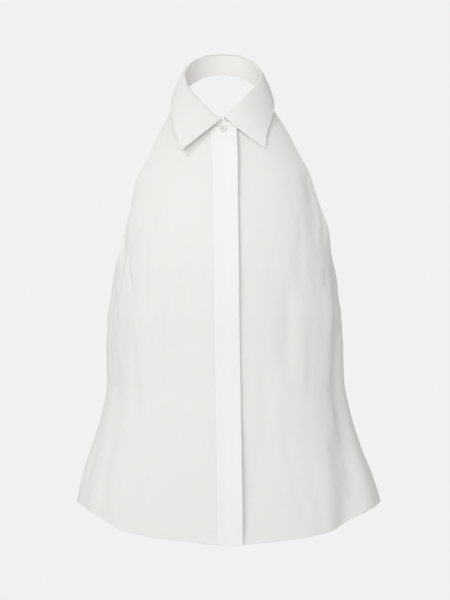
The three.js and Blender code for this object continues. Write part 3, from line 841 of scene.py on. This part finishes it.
def place(points, centre, facing):
    """Turns points made along +Z to face another way, and moves them to their centre."""
    turn = Vector((0, 0, 1)).rotation_difference(Vector(facing)).to_matrix()
    return [Vector(centre) + turn @ Vector(p) * MM for p in points]


def make_button(name, centre, facing, diameter, thickness):
    vertices, faces = turned_blank(diameter, thickness)
    piece = add_mesh(name, place(vertices, centre, facing), faces)
    holes, hole_faces = [], []
    spread = diameter * HOLE_SPREAD
    for x in (-spread, spread):
        for y in (-spread, spread):
            prism(x, y, HOLE_RADIUS, -1, thickness + 1, 20, holes, hole_faces)
    cutter = add_mesh(name + "_holes", place(holes, centre, facing), hole_faces)
    cut = piece.modifiers.new("holes", "BOOLEAN")
    cut.object = cutter
    cut.solver = "EXACT"
    drilled = bpy.data.meshes.new_from_object(piece.evaluated_get(bpy.context.evaluated_depsgraph_get()))
    piece.modifiers.clear()
    piece.data = drilled
    drilled.polygons.foreach_set("use_smooth", [True] * len(drilled.polygons))
    drilled.set_sharp_from_angle(angle=math.radians(40))
    bpy.data.objects.remove(cutter)
    strands, strand_faces = [], []
    face = thickness * FACE_SHARE
    for a, b in (((-spread, -spread), (spread, spread)), ((-spread, spread), (spread, -spread))):
        thread_loop((*a, face * 0.35), (*b, face * 0.35), face * 0.65 + 0.3, strands, strand_faces)
    thread = add_mesh(name + "_thread", place(strands, centre, facing), strand_faces)
    print(f"{name}: {diameter} mm across, {len(drilled.polygons)} faces")
    return piece, thread


# %% Seat the neck button and the fly buttons
COLLAR_BUTTON = (10.5, 2.2)
FLY_BUTTON = (11, 1.6)
FLY_BUTTON_DROP = 0.3
buttons = {}


def middle_of(node):
    low, high = (np.array(corner, float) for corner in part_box(node))
    return (low + high) / 2


centre = middle_of("collar_button")
top, seam = stand_top(np.array([0.0]))[0], seam_point(np.array([0.0]))[0]
slope = math.atan2(top[1] - seam[1], top[2] - seam[2])
facing = np.array([0, -math.cos(slope), math.sin(slope)])
back_of_button = centre - facing * COLLAR_BUTTON[1] * MM / 2
buttons["collar_button"] = make_button("neck_button", back_of_button, facing, *COLLAR_BUTTON)

fly_nodes = sorted(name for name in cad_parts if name.startswith("fly_button"))
rows = np.linspace(0, HEM_ROW, 4000)
middle_line = front_point(angle_across(np.zeros_like(rows), rows), rows)
for number, node in enumerate(fly_nodes, 1):
    centre = middle_of(node)
    i = int(np.abs(middle_line[:, 2] * MM - centre[2]).argmin())
    step = middle_line[i + 2] - middle_line[i - 2]
    facing = np.array([0, step[2], -step[1]]) / math.hypot(step[1], step[2])
    back_of_button = centre - facing * (FLY_BUTTON[1] / 2 + FLY_BUTTON_DROP) * MM
    buttons[node] = make_button(f"hidden_button_{number}", back_of_button, facing, *FLY_BUTTON)
    print("  leans", round(math.degrees(math.asin(facing[2])), 1), "degrees")

# %% [markdown]
# ## Materials
# Shader maths reads best as Python expressions, so a small class wraps a socket and gives it the
# usual signs. The cloth is a fine plain weave: two sets of threads pass over and under each
# other, some a little thicker than the rest, and the colour wanders very slightly with them.

# %% A small class for shader maths


class Value:
    """A socket in a material. Signs between values add Math nodes."""

    def __init__(self, paint, socket):
        self.paint, self.socket = paint, socket

    def __add__(self, other):
        return self.paint.maths("ADD", self, other)

    def __sub__(self, other):
        return self.paint.maths("SUBTRACT", self, other)

    def __rsub__(self, other):
        return self.paint.maths("SUBTRACT", other, self)

    def __mul__(self, other):
        return self.paint.maths("MULTIPLY", self, other)

    __radd__ = __add__
    __rmul__ = __mul__


class Paint:
    """One material, with its nodes."""

    def __init__(self, name, **constants):
        self.material = bpy.data.materials.new(name)
        self.material.use_nodes = True
        self.tree = self.material.node_tree
        self.surface = self.tree.nodes["Principled BSDF"]
        for socket, value in constants.items():
            self.surface.inputs[socket.replace("_", " ")].default_value = value

    def connect(self, value, socket):
        if isinstance(value, Value):
            self.tree.links.new(value.socket, socket)
        else:
            socket.default_value = value

    def node(self, kind, settings, sockets, output=0):
        made = self.tree.nodes.new("ShaderNode" + kind)
        for setting, value in settings.items():
            if setting == "stops":
                for stop, (place_at, colour) in zip(made.color_ramp.elements, value):
                    stop.position, stop.color = place_at, colour
            else:
                setattr(made, setting, value)
        for socket, value in sockets.items():
            self.connect(value, made.inputs[socket])
        return Value(self, made.outputs[output])

    def maths(self, operation, *values):
        return self.node("Math", {"operation": operation}, dict(enumerate(values)))

    def blend(self, share, first, second):
        return self.node("Mix", {"data_type": "RGBA"}, {0: share, 6: first, 7: second}, 2)

    def feed(self, **links):
        for socket, value in links.items():
            self.connect(value, self.surface.inputs[socket.replace("_", " ")])


# %% Cloth
# Threads to a metre, each way
THREADS = 2400
TURN_ROUND = 2 * math.pi


def make_cloth(name, warm, cool, roughness, bump, sheen):
    paint = Paint(name, IOR=1.45, Sheen_Weight=sheen, Sheen_Roughness=0.5, Sheen_Tint=(1, 0.99, 0.97, 1))
    cloth_place = paint.node("UVMap", {"uv_map": "cloth_metres"}, {})
    object_place = paint.node("TexCoord", {}, {}, 3)
    wander = paint.node("TexNoise", {}, {"Vector": cloth_place, "Scale": 90.0, "Detail": 2.0})
    across = paint.node("SeparateXYZ", {}, {0: cloth_place}, 0) + (wander - 0.5) * 0.0006
    down = paint.node("SeparateXYZ", {}, {0: cloth_place}, 1) + (wander - 0.5) * 0.0005
    warp = paint.maths("SINE", across * (THREADS * TURN_ROUND / 2), 0.0)
    weft = paint.maths("SINE", down * (THREADS * TURN_ROUND / 2), 0.0)
    weave = warp * weft
    stretched = paint.node("Mapping", {}, {"Vector": cloth_place, "Scale": (35.0, 900.0, 1.0)})
    slub_across = paint.node("TexNoise", {}, {"Vector": stretched, "Scale": 1.0, "Detail": 3.0})
    stretched = paint.node("Mapping", {}, {"Vector": cloth_place, "Scale": (1100.0, 30.0, 1.0)})
    slub_down = paint.node("TexNoise", {}, {"Vector": stretched, "Scale": 1.0, "Detail": 3.0})
    slubs = slub_across * 0.6 + slub_down * 0.4
    clouds = paint.node("TexNoise", {}, {"Vector": object_place, "Scale": 9.0, "Detail": 3.0})
    height = weave * 0.35 + slubs * 0.9
    relief = paint.node("Bump", {}, {"Strength": bump, "Distance": 0.0001, "Height": height})
    share = slubs * 0.75 + clouds * 0.25 + weave * 0.04
    colour = paint.blend(share, warm, cool)
    paint.feed(Base_Color=colour, Roughness=roughness + slubs * 0.08, Normal=relief)
    return paint.material


CLOTH_COLOURS = (0.905, 0.90, 0.88, 1), (0.875, 0.87, 0.848, 1)
FIRM_COLOURS = (0.962, 0.955, 0.937, 1), (0.935, 0.928, 0.908, 1)
cloth = make_cloth("off_white_cloth", *CLOTH_COLOURS, roughness=0.78, bump=0.5, sheen=0.12)
firm_cloth = make_cloth("firm_off_white_cloth", *FIRM_COLOURS, roughness=0.74, bump=0.4, sheen=0.1)


def make_thread():
    paint = Paint("sewing_thread", Sheen_Weight=0.15)
    place_on = paint.node("TexCoord", {}, {}, 3)
    twist = paint.node("TexNoise", {}, {"Vector": place_on, "Scale": 2600.0, "Detail": 1.0})
    colour = paint.blend(twist, (0.93, 0.92, 0.90, 1), (0.86, 0.85, 0.825, 1))
    relief = paint.node("Bump", {}, {"Strength": 0.4, "Distance": 0.00008, "Height": twist})
    paint.feed(Base_Color=colour, Roughness=0.62 + twist * 0.1, Normal=relief)
    return paint.material


def make_button_paint():
    paint = Paint("polished_button", IOR=1.5, Coat_Weight=0.35, Coat_Roughness=0.12,
                  Subsurface_Weight=0.05)
    place_on = paint.node("TexCoord", {}, {}, 3)
    marbling = {"Vector": place_on, "Scale": 260.0, "Detail": 4.0, "Distortion": 1.2}
    marble = paint.node("TexNoise", {}, marbling)
    fine = paint.node("TexNoise", {}, {"Vector": place_on, "Scale": 2200.0, "Detail": 2.0})
    colour = paint.blend(marble, (0.93, 0.92, 0.89, 1), (0.86, 0.85, 0.82, 1))
    relief = paint.node("Bump", {}, {"Strength": 0.15, "Distance": 0.00005, "Height": fine})
    paint.feed(Base_Color=colour, Roughness=0.28 + marble * 0.12, Normal=relief)
    return paint.material


thread_paint, button_paint = make_thread(), make_button_paint()
print("materials:", [m.name for m in (cloth, firm_cloth, thread_paint, button_paint)])

# %% [markdown]
# ## Who stands for what
# Every piece rides on the frame's one body. Each cloth piece takes the place of its solid, which
# is hidden.

# %% Dress the frame
DRESS = {
    "right_front_cloth": ("front_right", cloth, "hung", ["collar_stand"]),
    "left_front_cloth": ("front_left", cloth, "hung", ["collar_stand"]),
    "back_cloth": ("back", cloth, "hung", ["front_right", "front_left"]),
    "placket_cloth": ("placket", firm_cloth, "laid", ["front_left"]),
    "stand_cloth": ("collar_stand", firm_cloth, "hung", []),
    "leaf_cloth": ("collar_leaf", cloth, "folded", ["collar_stand"]),
}


def finish_piece(piece, material):
    piece.data.materials.clear()
    piece.data.materials.append(material)
    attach(piece, "root")


for name, (node, material, held, rests_on) in DRESS.items():
    sheet = pieces[name]
    finish_piece(sheet["piece"], material)
    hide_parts(node)
    for row in stitch_rows.get(name, []):
        finish_piece(row, thread_paint)

for node, (piece, thread) in buttons.items():
    finish_piece(piece, button_paint)
    finish_piece(thread, thread_paint)
    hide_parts(node)

# %% [markdown]
# ## Floor, light and camera
# The photograph has a plain pale ground and soft light from the upper left. A floor lies where
# the wearer's floor would be and fades into the ground. A small lamp at the upper left gives the
# shadow under the collar, a larger one in front lightens the panels, a weak one lights the back,
# and the even ground does the rest.

# %% Floor
FLOOR_Z = -1.45
FLOOR_RADIUS = 4.2
FADE_FROM = 2.4
FADE_TO = 4.1


def make_floor():
    sides = 96
    turns = [2 * math.pi * k / sides for k in range(sides)]
    rim = [(FLOOR_RADIUS * math.cos(turn), FLOOR_RADIUS * math.sin(turn), FLOOR_Z) for turn in turns]
    wedges = [(0, 1 + k, 1 + (k + 1) % sides) for k in range(sides)]
    floor = add_mesh("floor", [(0, 0, FLOOR_Z)] + rim, wedges)
    paint = Paint("pale_floor", Roughness=0.9)
    place_on = paint.node("TexCoord", {}, {}, 3)
    distance = paint.node("VectorMath", {"operation": "LENGTH"}, {0: place_on}, 1)
    grain = paint.node("TexNoise", {}, {"Vector": place_on, "Scale": 40.0})
    paint.feed(Base_Color=paint.blend(grain, (0.80, 0.80, 0.80, 1), (0.82, 0.82, 0.82, 1)))
    fade = paint.node("MapRange", {}, {0: distance, 1: FADE_FROM, 2: FADE_TO})
    clear = paint.node("BsdfTransparent", {}, {})
    output = paint.tree.nodes["Material Output"]
    body = Value(paint, paint.surface.outputs[0])
    mixed = paint.node("MixShader", {}, {0: fade, 1: body, 2: clear})
    paint.connect(mixed, output.inputs["Surface"])
    floor.data.materials.append(paint.material)
    return floor


make_floor()

# %% Ground and lamps
GROUND = 0.879
AMBIENT = 0.555
# Name, place, aim, diameter in metres and power in watts
LAMPS = [
    ("key_lamp", (-1.45, -2.05, 1.55), (0, 0, -0.2), 0.45, 14),
    ("front_lamp", (-0.35, -2.5, 0.3), (0, 0, -0.3), 1.4, 17),
    ("back_lamp", (-2.3, 1.9, 1.1), (0, 0, -0.35), 1.0, 10),
]


def make_world():
    world = bpy.data.worlds.new("pale_ground")
    bpy.context.scene.world = world
    world.use_nodes = True
    tree = world.node_tree
    tree.nodes.clear()
    seen = tree.nodes.new("ShaderNodeBackground")
    seen.inputs[0].default_value = (GROUND, GROUND, GROUND, 1)
    lighting = tree.nodes.new("ShaderNodeBackground")
    lighting.inputs[0].default_value = (AMBIENT, AMBIENT, AMBIENT, 1)
    rays = tree.nodes.new("ShaderNodeLightPath")
    joined = tree.nodes.new("ShaderNodeMixShader")
    output = tree.nodes.new("ShaderNodeOutputWorld")
    tree.links.new(rays.outputs["Is Camera Ray"], joined.inputs[0])
    tree.links.new(lighting.outputs[0], joined.inputs[1])
    tree.links.new(seen.outputs[0], joined.inputs[2])
    tree.links.new(joined.outputs[0], output.inputs[0])


def make_lamp(name, at, towards, size, power):
    data = bpy.data.lights.new(name, "AREA")
    data.shape = "DISK"
    data.size = size
    data.energy = power
    lamp = bpy.data.objects.new(name, data)
    lamp.location = at
    lamp.rotation_euler = (Vector(towards) - Vector(at)).to_track_quat("-Z", "Y").to_euler()
    bpy.context.scene.collection.objects.link(lamp)


make_world()
for lamp in LAMPS:
    make_lamp(*lamp)
print("ground", GROUND, "ambient", AMBIENT, "and", len(LAMPS), "lamps")

# %% Camera
FRAME_HEIGHT = 0.870
CAMERA_DISTANCE = 3.2
CAMERA_X = 0.003625
CAMERA_Z = -0.282


def make_camera():
    data = bpy.data.cameras.new("camera")
    data.sensor_fit = "VERTICAL"
    data.sensor_width = data.sensor_height = 36
    data.lens = data.sensor_height * CAMERA_DISTANCE / FRAME_HEIGHT
    data.clip_end = 50
    camera = bpy.data.objects.new("camera", data)
    camera.location = (CAMERA_X, -CAMERA_DISTANCE, CAMERA_Z)
    camera.rotation_euler = (math.pi / 2, 0, 0)
    bpy.context.scene.collection.objects.link(camera)
    bpy.context.scene.camera = camera


make_camera()
bpy.context.scene.view_settings.view_transform = "Standard"

# %% [markdown]
# ## Last step
# The view layer is brought up to date at the end.

# %% Update the view layer
bpy.context.view_layer.update()
